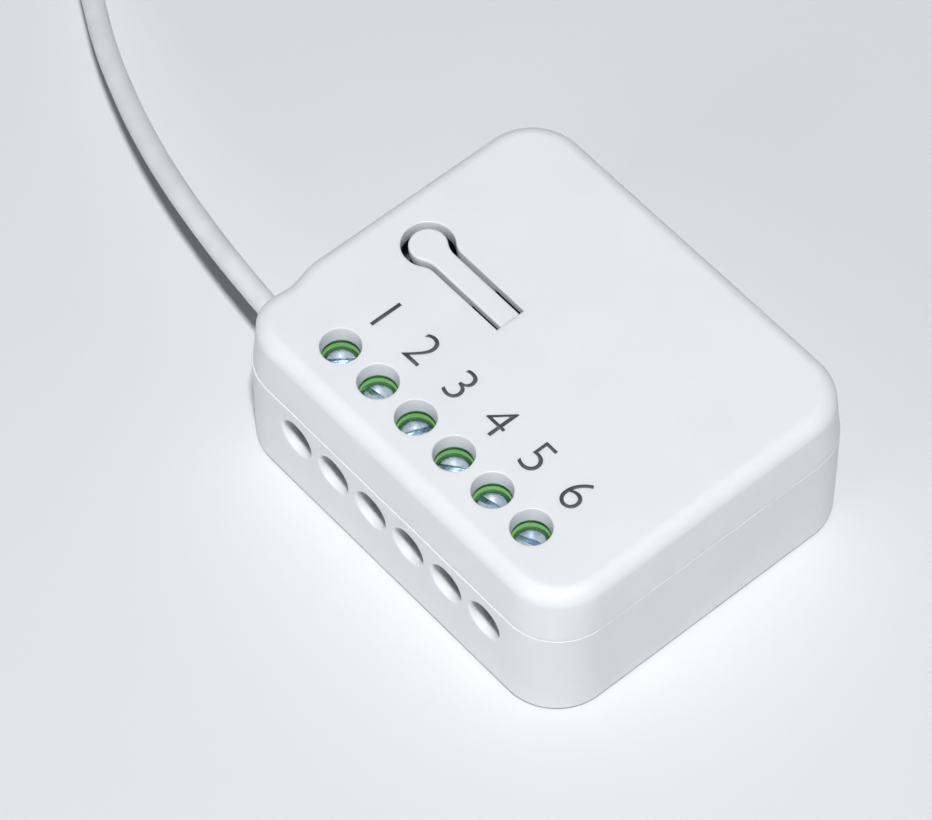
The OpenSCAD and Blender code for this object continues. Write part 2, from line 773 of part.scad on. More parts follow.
module transformer_pins() {
    color("silver") for (x = transformer_leads_x, y = transformer_leads_y)
        lead(x, y, board_top + transformer_foot - over);
}

// rolled groove round a can, at its distance from the can's lead end
module can_groove(radius) {
    translate([0, 0, groove_place]) rotate_extrude() translate([radius + groove_radius / 2, 0])
        circle(groove_radius);
}

// lying can with a rolled groove, and its two leads bent down
module bulk_capacitor() {
    z = board_top + bulk_radius;
    color("midnightblue") {
        translate([bulk_x, bulk_y, z]) rotate([0, 90, 0]) difference() {
            cylinder(r = bulk_radius, h = bulk_length);
            can_groove(bulk_radius);
        }
        for (y = [-bulk_lead, bulk_lead]) translate([bulk_x - bulk_reach, bulk_y + y, 0]) {
            translate([0, 0, z]) rotate([0, 90, 0]) cylinder(r = lead_radius, h = bulk_reach + over);
            translate([0, 0, z]) sphere(lead_radius);
            lead(0, 0, z);
        }
    }
}

module output_capacitor() {
    color("midnightblue") {
        translate([output_x, output_y, board_top]) difference() {
            cylinder(r = output_radius, h = output_height);
            can_groove(output_radius);
        }
        for (y = [-1, 1]) lead(output_x, output_y + y * output_lead, board_top + over);
    }
}

// coated disc standing on its leads
module varistor() {
    z = board_top + 0.6 + varistor_radius;
    color("royalblue") {
        translate([varistor_x - varistor_thick / 2, varistor_y, z]) rotate([0, 90, 0])
            cylinder(r = varistor_radius, h = varistor_thick);
        for (y = [-1, 1]) lead(varistor_x, varistor_y + y * varistor_lead, z);
    }
}

// lying resistor with its leads bent down at both ends
module fusible_resistor() {
    z = board_top + fuse_radius;
    color("darkseagreen") {
        translate([fuse_x - fuse_length / 2, fuse_y, z]) rotate([0, 90, 0])
            cylinder(r = fuse_radius, h = fuse_length);
        translate([fuse_x - fuse_lead, fuse_y, z]) rotate([0, 90, 0])
            cylinder(r = lead_radius, h = 2 * fuse_lead);
        for (x = [-1, 1]) {
            translate([fuse_x + x * fuse_lead, fuse_y, z]) sphere(lead_radius);
            lead(fuse_x + x * fuse_lead, fuse_y, z);
        }
    }
}

// bridge rectifier with four gull-wing feet
module rectifier() {
    color("black") translate([bridge_x, fuse_y - bridge_width / 2, board_top]) {
        translate([0, 0, 0.1]) cube([bridge_length, bridge_width, bridge_height]);
        for (x = [0.8, bridge_length - 1.4], y = [-0.6, bridge_width - 0.2])
            translate([x, y, 0]) cube([0.6, 0.8, 0.25]);
    }
}

// aerial inside the case: sleeve through the wall, bare conductor down into the board
module aerial_lead() {
    color("white") {
        translate([-case_width / 2, aerial_y, aerial_height]) rotate([0, 90, 0])
            cylinder(r = aerial_radius, h = aerial_end + case_width / 2);
        translate([aerial_end - over, aerial_y, aerial_height]) rotate([0, 90, 0])
            cylinder(r = conductor_radius, h = solder_x - aerial_end + over);
        translate([solder_x, aerial_y, aerial_height]) sphere(conductor_radius);
        translate([solder_x, aerial_y, board_z - lead_tail])
            cylinder(r = conductor_radius, h = aerial_height - board_z + lead_tail);
    }
}

// direction of the cord at one of its points
function cord_way(k) =
    let (last = len(cord_points) - 1)
    unit(cord_points[min(k + 1, last)] - cord_points[max(k - 1, 0)]);

// ring of points square to the cord
function cord_ring(k) =
    let (
        along = k == 0 ? [-1, 0, 0] : cord_way(k),
        across = unit(cross(along, [0, 0, 1])),
        up = cross(across, along)
    )
    [for (turn = [0 : 360 / cord_sides : 359])
        cord_points[k] + aerial_radius * (cos(turn) * across + sin(turn) * up)];

// free aerial outside the case, lying down onto the surface
module aerial_sleeve() {
    count = len(cord_points);
    rings = [for (k = [0 : count - 1]) each cord_ring(k)];
    sides = [for (k = [0 : count - 2], s = [0 : cord_sides - 1])
        let (n = (s + 1) % cord_sides, a = k * cord_sides, b = a + cord_sides)
        each [[a + s, a + n, b + n], [a + s, b + n, b + s]]];
    ends = [[for (s = [0 : cord_sides - 1]) cord_sides - 1 - s],
        [for (s = [0 : cord_sides - 1]) (count - 1) * cord_sides + s]];
    color("white") polyhedron(points = rings, faces = concat(sides, ends));
}

case_base();
case_cover();
push_tongue();
circuit_board();
terminal_block_left();
terminal_block_right();
terminal_contacts();
for (i = [1 : 6]) terminal_screw(i);
for (i = [1 : 6]) wire_cage(i);
tact_housing();
tact_frame();
tact_plunger();
tact_legs();
relay_base();
relay_cover();
relay_coil();
relay_core();
relay_armature();
relay_contact_leaf();
relay_fixed_contact();
relay_pins();
radio_board();
radio_shield();
radio_pins();
transformer_core();
transformer_coil();
transformer_pins();
bulk_capacitor();
output_capacitor();
varistor();
fusible_resistor();
rectifier();
aerial_lead();
aerial_sleeve();
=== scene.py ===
import math

import bmesh
import bpy
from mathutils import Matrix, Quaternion, Vector


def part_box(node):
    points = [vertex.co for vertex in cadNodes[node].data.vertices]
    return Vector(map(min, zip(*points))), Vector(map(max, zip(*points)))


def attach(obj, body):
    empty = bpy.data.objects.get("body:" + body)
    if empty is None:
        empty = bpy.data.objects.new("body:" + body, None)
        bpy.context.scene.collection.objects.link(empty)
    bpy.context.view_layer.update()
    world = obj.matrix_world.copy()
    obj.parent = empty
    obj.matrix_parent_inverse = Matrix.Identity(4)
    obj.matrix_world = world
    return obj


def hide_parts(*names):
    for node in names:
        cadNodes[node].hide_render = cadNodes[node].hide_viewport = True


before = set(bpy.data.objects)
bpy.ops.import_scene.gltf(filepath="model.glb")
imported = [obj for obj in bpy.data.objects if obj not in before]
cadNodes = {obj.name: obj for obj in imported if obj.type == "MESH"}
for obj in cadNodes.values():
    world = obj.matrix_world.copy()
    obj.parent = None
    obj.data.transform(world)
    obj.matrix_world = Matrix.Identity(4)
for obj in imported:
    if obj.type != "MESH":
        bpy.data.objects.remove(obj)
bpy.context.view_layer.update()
print("frame loaded:", len(cadNodes), "solids")


# hand tools

# edges count as sharp from this angle on, and points this close as being in one place
sharpAngle = 0.56
samePlace = 1e-6


def pickOnly(piece):
    bpy.ops.object.select_all(action="DESELECT")
    piece.select_set(True)
    bpy.context.view_layer.objects.active = piece


def choose(piece, kind, test):
    # goes into edit mode with only the fitting corners, edges or faces selected
    pickOnly(piece)
    bpy.ops.object.mode_set(mode="EDIT")
    bpy.ops.mesh.select_mode(type=kind)
    bpy.ops.mesh.select_all(action="DESELECT")
    mesh = bmesh.from_edit_mesh(piece.data)
    for item in {"VERT": mesh.verts, "EDGE": mesh.edges, "FACE": mesh.faces}[kind]:
        if test(item):
            item.select_set(True)
    bmesh.update_edit_mesh(piece.data)


def leaveEdit():
    bpy.ops.object.mode_set(mode="OBJECT")


def settle(piece):
    # puts the place, turn and scale into the mesh
    pickOnly(piece)
    bpy.ops.object.transform_apply(location=True, rotation=True, scale=True)


def applyModifier(piece, kind, **settings):
    pickOnly(piece)
    modifier = piece.modifiers.new(kind.lower(), kind)
    for name, value in settings.items():
        setattr(modifier, name, value)
    bpy.ops.object.modifier_apply(modifier=modifier.name)


def carve(piece, cutter, how="DIFFERENCE"):
    applyModifier(piece, "BOOLEAN", object=cutter, operation=how, solver="EXACT")
    bpy.data.objects.remove(cutter, do_unlink=True)


def joinPieces(name, pieces):
    pickOnly(pieces[0])
    for piece in pieces[1:]:
        piece.select_set(True)
    bpy.ops.object.join()
    pieces[0].name = name
    return pieces[0]


def isSharp(edge):
    return edge.calc_face_angle(0) > sharpAngle


def roundEdges(piece, width, steps, test):
    choose(piece, "EDGE", lambda e: isSharp(e) and test(e))
    bpy.ops.mesh.bevel(offset=width, segments=steps, profile=0.5, affect="EDGES", clamp_overlap=True)
    leaveEdit()


def smoothOut(piece):
    # smooth shading that keeps the large flat faces flat
    pickOnly(piece)
    bpy.ops.object.shade_smooth_by_angle(angle=sharpAngle)
    applyModifier(piece, "WEIGHTED_NORMAL", keep_sharp=True, weight=50)


def level(edge, height):
    return all(abs(v.co.z - height) < samePlace for v in edge.verts)


def rod(name, radius, start, end, sides=64):
    # round bar between two points
    start, end = Vector(start), Vector(end)
    way = end - start
    turn = Vector((0, 0, 1)).rotation_difference(way).to_euler()
    bpy.ops.object.select_all(action="DESELECT")
    bpy.ops.mesh.primitive_cylinder_add(vertices=sides, radius=radius, depth=way.length,
                                        location=(start + end) / 2, rotation=turn)
    piece = bpy.context.object
    piece.name = name
    settle(piece)
    return piece


def block(name, low, high):
    low, high = Vector(low), Vector(high)
    bpy.ops.object.select_all(action="DESELECT")
    bpy.ops.mesh.primitive_cube_add(size=1, location=(low + high) / 2)
    piece = bpy.context.object
    piece.name = name
    piece.scale = high - low
    settle(piece)
    return piece


def seat(piece, body, finish, slot, *nodes):
    # finish, body and the solids that the piece stands for
    piece.data.materials.clear()
    piece.data.materials.append(finish)
    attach(piece, body)
    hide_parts(*nodes)


# shared effects

def newGroup(name, inputs, outputs):
    tree = bpy.data.node_groups.new(name, "ShaderNodeTree")
    for label, value in inputs.items():
        socket = tree.interface.new_socket(label, in_out="INPUT", socket_type="NodeSocketFloat")
        socket.default_value = value
    for label in outputs:
        tree.interface.new_socket(label, in_out="OUTPUT", socket_type="NodeSocketFloat")
    return tree, tree.nodes.new("NodeGroupInput"), tree.nodes.new("NodeGroupOutput")


def makeMottle():
    # fine grain and broad soft patches of a moulded or coated surface
    tree, given, out = newGroup("mottle", {"Grain Scale": 4000, "Patch Scale": 120}, ["Grain", "Patch"])
    place = tree.nodes.new("ShaderNodeTexCoord")
    for label, source, detail in (("Grain", "Grain Scale", 2), ("Patch", "Patch Scale", 4)):
        noise = tree.nodes.new("ShaderNodeTexNoise")
        noise.inputs["Detail"].default_value = detail
        tree.links.new(place.outputs["Object"], noise.inputs["Vector"])
        tree.links.new(given.outputs[source], noise.inputs["Scale"])
        tree.links.new(noise.outputs["Fac"], out.inputs[label])
    return tree


def makeDrawn():
    # long fine lines of drawn, turned or wound metal, across the piece's X
    tree, given, out = newGroup("drawnLines", {"Line Scale": 6000, "Stretch": 0.05}, ["Line"])
    place = tree.nodes.new("ShaderNodeTexCoord")
    part = tree.nodes.new("ShaderNodeSeparateXYZ")
    squeeze = tree.nodes.new("ShaderNodeMath")
    squeeze.operation = "MULTIPLY"
    whole = tree.nodes.new("ShaderNodeCombineXYZ")
    noise = tree.nodes.new("ShaderNodeTexNoise")
    noise.inputs["Detail"].default_value = 3
    tree.links.new(place.outputs["Object"], part.inputs["Vector"])
    tree.links.new(part.outputs["X"], squeeze.inputs[0])
    tree.links.new(given.outputs["Stretch"], squeeze.inputs[1])
    tree.links.new(squeeze.outputs["Value"], whole.inputs["X"])
    tree.links.new(part.outputs["Y"], whole.inputs["Y"])
    tree.links.new(part.outputs["Z"], whole.inputs["Z"])
    tree.links.new(whole.outputs["Vector"], noise.inputs["Vector"])
    tree.links.new(given.outputs["Line Scale"], noise.inputs["Scale"])
    tree.links.new(noise.outputs["Fac"], out.inputs["Line"])
    return tree


mottle = makeMottle()
drawnLines = makeDrawn()


class Finish:
    # one material with its shader and the few nodes that every finish needs

    def __init__(self, name):
        self.material = bpy.data.materials.new(name)
        self.material.use_nodes = True
        self.tree = self.material.node_tree
        self.shader = self.tree.nodes["Principled BSDF"]

    def effect(self, group, **values):
        node = self.tree.nodes.new("ShaderNodeGroup")
        node.node_tree = group
        for label, value in values.items():
            node.inputs[label.replace("_", " ")].default_value = value
        return node.outputs

    def spread(self, source, low, high, start=0.35, end=0.65):
        node = self.tree.nodes.new("ShaderNodeMapRange")
        for label, value in (("From Min", start), ("From Max", end), ("To Min", low), ("To Max", high)):
            node.inputs[label].default_value = value
        self.tree.links.new(source, node.inputs["Value"])
        return node.outputs["Result"]

    def tint(self, factor, first, second):
        node = self.tree.nodes.new("ShaderNodeMix")
        node.data_type = "RGBA"
        colours = {"A_Color": first, "B_Color": second}
        for socket in node.inputs:
            if socket.identifier in colours:
                socket.default_value = (*colours[socket.identifier], 1)
        self.tree.links.new(factor, node.inputs["Factor"])
        return next(socket for socket in node.outputs if socket.identifier == "Result_Color")

    def colour(self, source):
        self.tree.links.new(source, self.shader.inputs["Base Color"])

    def roughness(self, source):
        self.tree.links.new(source, self.shader.inputs["Roughness"])

    def relief(self, height, depth):
        node = self.tree.nodes.new("ShaderNodeBump")
        node.inputs["Distance"].default_value = depth
        node.inputs["Strength"].default_value = 1
        self.tree.links.new(height, node.inputs["Height"])
        self.tree.links.new(node.outputs["Normal"], self.shader.inputs["Normal"])

    def fix(self, **values):
        for label, value in values.items():
            self.shader.inputs[label.replace("_", " ")].default_value = value


def mouldedFinish(name, pale, deep, rough, grain=4000, patch=120, depth=0.000003, glow=0):
    # plastic from a mould: patchy gloss and a very fine skin
    finish = Finish(name)
    marks = finish.effect(mottle, Grain_Scale=grain, Patch_Scale=patch)
    finish.colour(finish.tint(finish.spread(marks["Patch"], 0, 1), pale, deep))
    finish.roughness(finish.spread(marks["Patch"], *rough))
    finish.relief(marks["Grain"], depth)
    finish.fix(Subsurface_Weight=glow, Subsurface_Radius=(1, 1, 1), Subsurface_Scale=0.0007)
    return finish.material


def metalFinish(name, pale, deep, rough, lines=6000, stretch=0.05, depth=0.000004, patch=900):
    # plated or drawn metal: fine lines over soft blotches
    finish = Finish(name)
    finish.fix(Metallic=1.0)
    marks = finish.effect(mottle, Patch_Scale=patch)
    drawn = finish.effect(drawnLines, Line_Scale=lines, Stretch=stretch)
    finish.colour(finish.tint(finish.spread(marks["Patch"], 0, 1), pale, deep))
    finish.roughness(finish.spread(drawn["Line"], *rough))
    finish.relief(drawn["Line"], depth)
    return finish.material


finishes = {
    "caseWhite": mouldedFinish("caseWhite", (0.80, 0.82, 0.85), (0.775, 0.80, 0.835), (0.36, 0.46),
                               glow=0.4),
    "printInk": mouldedFinish("printInk", (0.050, 0.056, 0.063), (0.075, 0.082, 0.090), (0.5, 0.62),
                              grain=9000),
    "terminalGreen": mouldedFinish("terminalGreen", (0.19, 0.42, 0.165), (0.155, 0.36, 0.135),
                                   (0.26, 0.38)),
    "sleeveWhite": mouldedFinish("sleeveWhite", (0.74, 0.75, 0.76), (0.66, 0.67, 0.69), (0.38, 0.52),
                                 grain=2600, patch=300, depth=0.00001),
    "screwPlate": metalFinish("screwPlate", (0.82, 0.90, 0.96), (0.54, 0.66, 0.80), (0.15, 0.36),
                              lines=2600, stretch=0.3, depth=0.000002),
    "zincPlate": metalFinish("zincPlate", (0.62, 0.68, 0.74), (0.45, 0.52, 0.60), (0.22, 0.38)),
    "tinnedBrass": metalFinish("tinnedBrass", (0.72, 0.69, 0.58), (0.58, 0.54, 0.44), (0.26, 0.42)),
    "softIron": metalFinish("softIron", (0.46, 0.46, 0.47), (0.32, 0.32, 0.33), (0.34, 0.5)),
    "copperWire": metalFinish("copperWire", (0.71, 0.33, 0.16), (0.48, 0.19, 0.08), (0.22, 0.4),
                              lines=9000, stretch=60, depth=0.00003),
    "boardMask": mouldedFinish("boardMask", (0.02, 0.16, 0.05), (0.012, 0.11, 0.035), (0.28, 0.4),
                               patch=700),
    "radioMask": mouldedFinish("radioMask", (0.02, 0.06, 0.18), (0.012, 0.04, 0.13), (0.28, 0.4),
                               patch=900),
    "blackMoulding": mouldedFinish("blackMoulding", (0.022, 0.022, 0.024), (0.034, 0.034, 0.037),
                                   (0.42, 0.6)),
    "relayShell": mouldedFinish("relayShell", (0.025, 0.10, 0.34), (0.02, 0.08, 0.28), (0.3, 0.42)),
    "ferriteGrey": mouldedFinish("ferriteGrey", (0.06, 0.06, 0.065), (0.10, 0.10, 0.105), (0.55, 0.75),
                                 grain=2500, patch=1500, depth=0.00002),
    "windingTape": mouldedFinish("windingTape", (0.72, 0.52, 0.06), (0.62, 0.43, 0.04), (0.2, 0.34),
                                 patch=600),
    "canSleeve": mouldedFinish("canSleeve", (0.02, 0.025, 0.08), (0.03, 0.035, 0.11), (0.18, 0.3),
                               patch=400),
    "dippedBlue": mouldedFinish("dippedBlue", (0.03, 0.12, 0.42), (0.02, 0.09, 0.33), (0.3, 0.5),
                                grain=1800, patch=700, depth=0.00003),
    "coatedGreen": mouldedFinish("coatedGreen", (0.24, 0.38, 0.28), (0.19, 0.31, 0.22), (0.3, 0.46),
                                 grain=2200, patch=900, depth=0.00002),
}
print("finishes:", len(finishes))


# camera

view = {
    "eye": (0.20124, -0.18063, 0.39330),
    "aim": (0.00016, -0.00927, 0.017),
    "roll": -0.496,
    "lens": 204.03,
    "sensor": 36,
    "nearest": 0.01,
}
cameraData = bpy.data.cameras.new("photoCamera")
cameraData.sensor_width = view["sensor"]
cameraData.lens = view["lens"]
cameraData.clip_start = view["nearest"]
camera = bpy.data.objects.new("photoCamera", cameraData)
bpy.context.scene.collection.objects.link(camera)
sight = (Vector(view["aim"]) - Vector(view["eye"])).to_track_quat("-Z", "Y")
camera.rotation_mode = "QUATERNION"
camera.rotation_quaternion = sight @ Quaternion((0, 0, 1), math.radians(view["roll"]))
camera.location = view["eye"]
bpy.context.scene.camera = camera
print("camera set")


# free aerial

aerial = {
    "radius": 0.0011,
    "core": 0.00045,
    "coreSides": 24,
    "coreReach": 0.002,
    "coreShow": 0.00006,
    "coreEdge": 0.00005,
    "coreSteps": 2,
    "boreGap": 0.00015,
    "route": [
        (-0.022, -0.0113, 0.0079), (-0.02468, -0.01119, 0.00785), (-0.02818, -0.01082, 0.00775),
        (-0.03234, -0.01028, 0.0076), (-0.03696, -0.0095, 0.00735), (-0.04192, -0.00847, 0.007),
        (-0.04787, -0.00688, 0.0065), (-0.05459, -0.00455, 0.0059), (-0.06001, -0.00226, 0.00535),
        (-0.06465, 0.00014, 0.0048), (-0.0696, 0.00292, 0.0041), (-0.07453, 0.00604, 0.0033),
        (-0.07934, 0.00952, 0.0025), (-0.08383, 0.01328, 0.0018), (-0.08799, 0.01743, 0.0013),
        (-0.0915, 0.0217, 0.00115),
    ],
}


def makeAerial():
    route = [Vector(point) for point in aerial["route"]]
    line = bpy.data.curves.new("aerialSleeve", "CURVE")
    line.dimensions = "3D"
    spline = line.splines.new("BEZIER")
    spline.bezier_points.add(len(route) - 1)
    for point, place in zip(spline.bezier_points, route):
        point.co = place
        point.handle_left_type = point.handle_right_type = "AUTO"
    line.bevel_depth = aerial["radius"]
    line.bevel_resolution = 8
    line.resolution_u = 8
    line.use_fill_caps = True
    sleeve = bpy.data.objects.new("aerialSleeve", line)
    bpy.context.scene.collection.objects.link(sleeve)
    # cut end of the conductor in the sleeve's mouth
    tail = (route[-1] - route[-2]).normalized()
    core = rod("aerialCore", aerial["core"], route[-1] - aerial["coreReach"] * tail,
               route[-1] + aerial["coreShow"] * tail, sides=aerial["coreSides"])
    roundEdges(core, aerial["coreEdge"], aerial["coreSteps"], lambda e: True)
    smoothOut(core)
    seat(core, "module", finishes["copperWire"], "copper_wire")
    seat(sleeve, "module", finishes["sleeveWhite"], "aerial_white", "aerial_sleeve")


makeAerial()


# case

case = {
    "corner": 0.0056,
    "cornerSteps": 20,
    "parting": 0.0111,
    "seam": 0.00005,
    "seamEdge": 0.00007,
    "shift": 0.00007,
    "wall": 0.0015,
    "floor": 0.0015,
    "roof": 0.0016,
    "lip": 0.0006,
    "lipRise": 0.0012,
    "lipGap": 0.0001,
    "coverDraft": 0.00044,
    "baseDraft": 0.00005,
    "topFillet": 0.0015,
    "filletSteps": 10,
    "ledge": 0.0001,
    "rimEdge": 0.00022,
    "rimSteps": 4,
    "footRise": 0.00028,
    "footInset": 0.0007,
    "edge": 0.0001,
    "edgeSteps": 3,
    "cutAhead": 0.002,
    "cutPast": 0.003,
    "dentDepth": 0.0007,
    "dentReach": 0.0038,
    "dentShift": -0.0009,
    "dentCuts": 10,
    "dentFillets": 1.05,
}
terminals = {
    "count": 6,
    "holeRadius": 0.0019,
    "holeDraft": 0.00013,
    "portRadius": 0.0019,
    "portHeight": 0.0077,
    "portRim": 0.0003,
    "rimSteps": 5,
    "rimReach": 1.1,
}
numbers = {
    "height": 0.0034,
    "ahead": 0.0050,
    "film": 0.000008,
    "thinner": -0.012,
}
ways = range(1, terminals["count"] + 1)
baseLow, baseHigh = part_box("case_base")
case["width"] = baseHigh.x - baseLow.x
case["depth"] = baseHigh.y - baseLow.y
case["top"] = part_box("case_cover")[1].z - numbers["film"]


def screwPlace(number):
    low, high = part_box(f"terminal_screw_{number}")
    return (low + high) / 2


def roundedBlock(name, low, high, inset=0):
    # upright block with the case's outline and round corners
    half = Vector((case["width"] / 2 - inset, case["depth"] / 2 - inset, 0))
    piece = block(name, (-half.x, -half.y, low), (half.x, half.y, high))
    choose(piece, "EDGE", lambda e: abs(e.verts[0].co.z - e.verts[1].co.z) > (high - low) / 2)
    bpy.ops.mesh.bevel(offset=case["corner"] - inset, segments=case["cornerSteps"], profile=0.5,
                       affect="EDGES")
    leaveEdit()
    return piece


def lean(piece, height, draft):
    # draws the outline in at one end
    choose(piece, "VERT", lambda v: abs(v.co.z - height) < samePlace)
    scale = (1 - 2 * draft / case["width"], 1 - 2 * draft / case["depth"], 1)
    bpy.ops.transform.resize(value=scale, center_override=(0, 0, height))
    leaveEdit()


def hollow(piece, up, steps):
    # insets the end face and pushes it in or out, once for each step
    choose(piece, "FACE", lambda f: f.normal.z * up > 0.99 and len(f.verts) > 4)
    for inset, push in steps:
        bpy.ops.mesh.inset(thickness=inset)
        bpy.ops.mesh.extrude_region_move(TRANSFORM_OT_translate={"value": (0, 0, push)})
    leaveEdit()


def dentSide(cover):
    # soft dip in the left side over the aerial: cuts across the side, then a push that fades out
    exitX, exitY = aerial["route"][0][:2]
    middle, reach, cuts = exitY + case["dentShift"], case["dentReach"], case["dentCuts"]
    # the push takes hold of the top fillet and a little of the side below it
    lowest = case["top"] - case["dentFillets"] * case["topFillet"]

    def isOuter(face):
        return face.normal.x < -0.05 and all(v.co.x < exitX + case["corner"] for v in face.verts)

    for cut in range(-cuts, cuts + 1):
        choose(cover, "FACE", isOuter)
        bpy.ops.mesh.bisect(plane_co=(0, middle + reach * cut / cuts, 0), plane_no=(0, 1, 0))
        leaveEdit()
    choose(cover, "FACE", isOuter)
    bpy.ops.mesh.hide(unselected=True)
    leaveEdit()
    choose(cover, "VERT", lambda v: abs(v.co.y - middle) < samePlace and v.co.z > lowest)
    bpy.ops.transform.translate(value=(case["dentDepth"], 0, 0), use_proportional_edit=True,
                                proportional_edit_falloff="SMOOTH", proportional_size=reach)
    bpy.ops.mesh.reveal(select=False)
    leaveEdit()


tongue = {
    "pad": 0.0018,
    "half": 0.0011,
    "neck": 0.0024,
    "slot": 0.0005,
    "padSlot": 0.0007,
    "length": 0.01115,
    "thick": 0.0012,
    "nub": 0.0011,
    "nubSides": 40,
    "edge": 0.0002,
    "hinge": 0.004,
    "hingeThick": 0.00085,
    "coverPocket": (0.0024, 0.0003),
    "armPocket": (0.0016, 0.001),
    "padSteps": 48,
    "neckSteps": 8,
}


def keyholeLine(pad, half, neck, root):
    # outline round the pad, through the necks and along the arm, from the pad's middle
    away = math.sqrt((pad + neck) ** 2 - (half + neck) ** 2)
    meet = math.atan2(half + neck, away)
    points = []
    steps = tongue["padSteps"]
    for k in range(steps + 1):
        angle = meet + (2 * math.pi - 2 * meet) * k / steps
        points.append((pad * math.cos(angle), pad * math.sin(angle)))
    steps = tongue["neckSteps"]
    bend = [math.pi - (math.pi / 2 - meet) * k / steps - meet for k in range(steps + 1)]
    lower = [(away + neck * math.cos(a), half + neck - neck * math.sin(a)) for a in bend[1:]]
    points += [(x, -y) for x, y in lower]
    points += [(tongue["length"], y) for y in (-half, -root, root, half)]
    points += lower[::-1]
    return points


def keyholePlate(name, padGrow, grow, low, high):
    # keyhole plate, grown sideways by the slots' widths for the cutter
    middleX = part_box("push_tongue")[1].x - tongue["length"]
    outline = keyholeLine(tongue["pad"] + padGrow, tongue["half"] + grow, tongue["neck"] - grow,
                          tongue["half"])
    bpy.ops.object.select_all(action="DESELECT")
    bpy.ops.mesh.primitive_circle_add(vertices=len(outline), fill_type="NGON", location=(0, 0, 0))
    piece = bpy.context.object
    piece.name = name
    for vertex, (x, y) in zip(piece.data.vertices, outline):
        vertex.co = (middleX + x, y, low)
    choose(piece, "VERT", lambda v: True)
    bpy.ops.mesh.remove_doubles(threshold=1e-7)
    bpy.ops.mesh.extrude_region_move(TRANSFORM_OT_translate={"value": (0, 0, high - low)})
    bpy.ops.mesh.select_all(action="SELECT")
    bpy.ops.mesh.normals_make_consistent(inside=False)
    leaveEdit()
    return piece


def hingePocket(side, past):
    # thins the last stretch before the root from below
    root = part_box("push_tongue")[1].x
    low, high = case["parting"], case["top"] - tongue["hingeThick"]
    return block("hinge", (root - tongue["hinge"], -side, low), (root + past, side, high))


def atRoot(edge):
    # where the tongue grows out of the cover, between the slots' ends
    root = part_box("push_tongue")[1].x
    reach = tongue["half"] + tongue["slot"] + samePlace
    return all(abs(v.co.x - root) < samePlace and abs(v.co.y) < reach for v in edge.verts)


def holeCutter(place, low, end):
    # driver hole that widens a little towards the top, as a moulded one does
    grow = terminals["holeDraft"] / case["roof"]
    wide, narrow = (terminals["holeRadius"] + grow * (height - case["top"]) for height in (end, low))
    cutter = rod("hole", wide, (place.x, place.y, low), (place.x, place.y, end))
    choose(cutter, "VERT", lambda v: abs(v.co.z - low) < samePlace)
    bpy.ops.transform.resize(value=(narrow / wide, narrow / wide, 1),
                             center_override=(place.x, place.y, low))
    leaveEdit()
    return cutter


def makeCover():
    low, top = case["parting"] + case["seam"], case["top"]
    cover = roundedBlock("caseCover", low, top, case["ledge"])
    lean(cover, top, case["coverDraft"])
    roundEdges(cover, case["topFillet"], case["filletSteps"], lambda e: level(e, top))
    rebate = case["wall"] - case["lip"] - case["lipGap"]
    lipTop = case["parting"] + case["lipRise"]
    hollow(cover, -1, [(rebate, lipTop - low), (case["wall"] - rebate, top - case["roof"] - lipTop)])
    dentSide(cover)
    choose(cover, "VERT", lambda v: True)
    bpy.ops.transform.translate(value=(case["shift"], 0, 0))
    leaveEdit()
    holes = [holeCutter(screwPlace(number), lipTop, top + case["cutPast"]) for number in ways]
    holes.append(keyholePlate("slot", tongue["padSlot"], tongue["slot"], lipTop, 2 * top))
    carve(cover, joinPieces("holes", holes))
    carve(cover, hingePocket(*tongue["coverPocket"]))
    roundEdges(cover, case["seamEdge"], case["edgeSteps"], lambda e: level(e, low))
    roundEdges(cover, case["rimEdge"], case["rimSteps"], lambda e: level(e, top) and not atRoot(e))
    roundEdges(cover, case["edge"], case["edgeSteps"], lambda e: not atRoot(e))
    smoothOut(cover)
    seat(cover, "module", finishes["caseWhite"], "case_white", "case_cover")
    print("cover:", len(cover.data.polygons), "faces")


def isPortRim(edge):
    # outer mouth of a wire port
    front = -case["depth"] / 2 + 2 * case["baseDraft"]
    reach = terminals["rimReach"] * terminals["portRadius"]
    return all(v.co.y < front and abs(v.co.z - terminals["portHeight"]) < reach for v in edge.verts)


def makeBase():
    base = roundedBlock("caseBase", case["footRise"], case["parting"])
    lean(base, case["footRise"], case["baseDraft"])
    hollow(base, -1, [(case["footInset"], -case["footRise"])])
    outer = case["wall"] - case["lip"]
    sink = case["floor"] - case["parting"] - case["lipRise"]
    hollow(base, 1, [(outer, case["lipRise"]), (case["lip"], sink)])
    ports = []
    front = -case["depth"] / 2
    ahead, past = case["cutAhead"], case["cutPast"]
    for number in ways:
        x, z = screwPlace(number).x, terminals["portHeight"]
        ports.append(rod("port", terminals["portRadius"], (x, front - ahead, z), (x, front + past, z)))
    exitX, exitY, exitZ = aerial["route"][0]
    bore = aerial["radius"] + aerial["boreGap"]
    ports.append(rod("bore", bore, (exitX - ahead, exitY, exitZ), (exitX + past, exitY, exitZ)))
    carve(base, joinPieces("ports", ports))
    roundEdges(base, case["seamEdge"], case["edgeSteps"], lambda e: level(e, case["parting"]))
    roundEdges(base, terminals["portRim"], terminals["rimSteps"], isPortRim)
    roundEdges(base, case["edge"], case["edgeSteps"], lambda e: True)
    smoothOut(base)
    seat(base, "module", finishes["caseWhite"], "case_white", "case_base")
    print("base:", len(base.data.polygons), "faces")


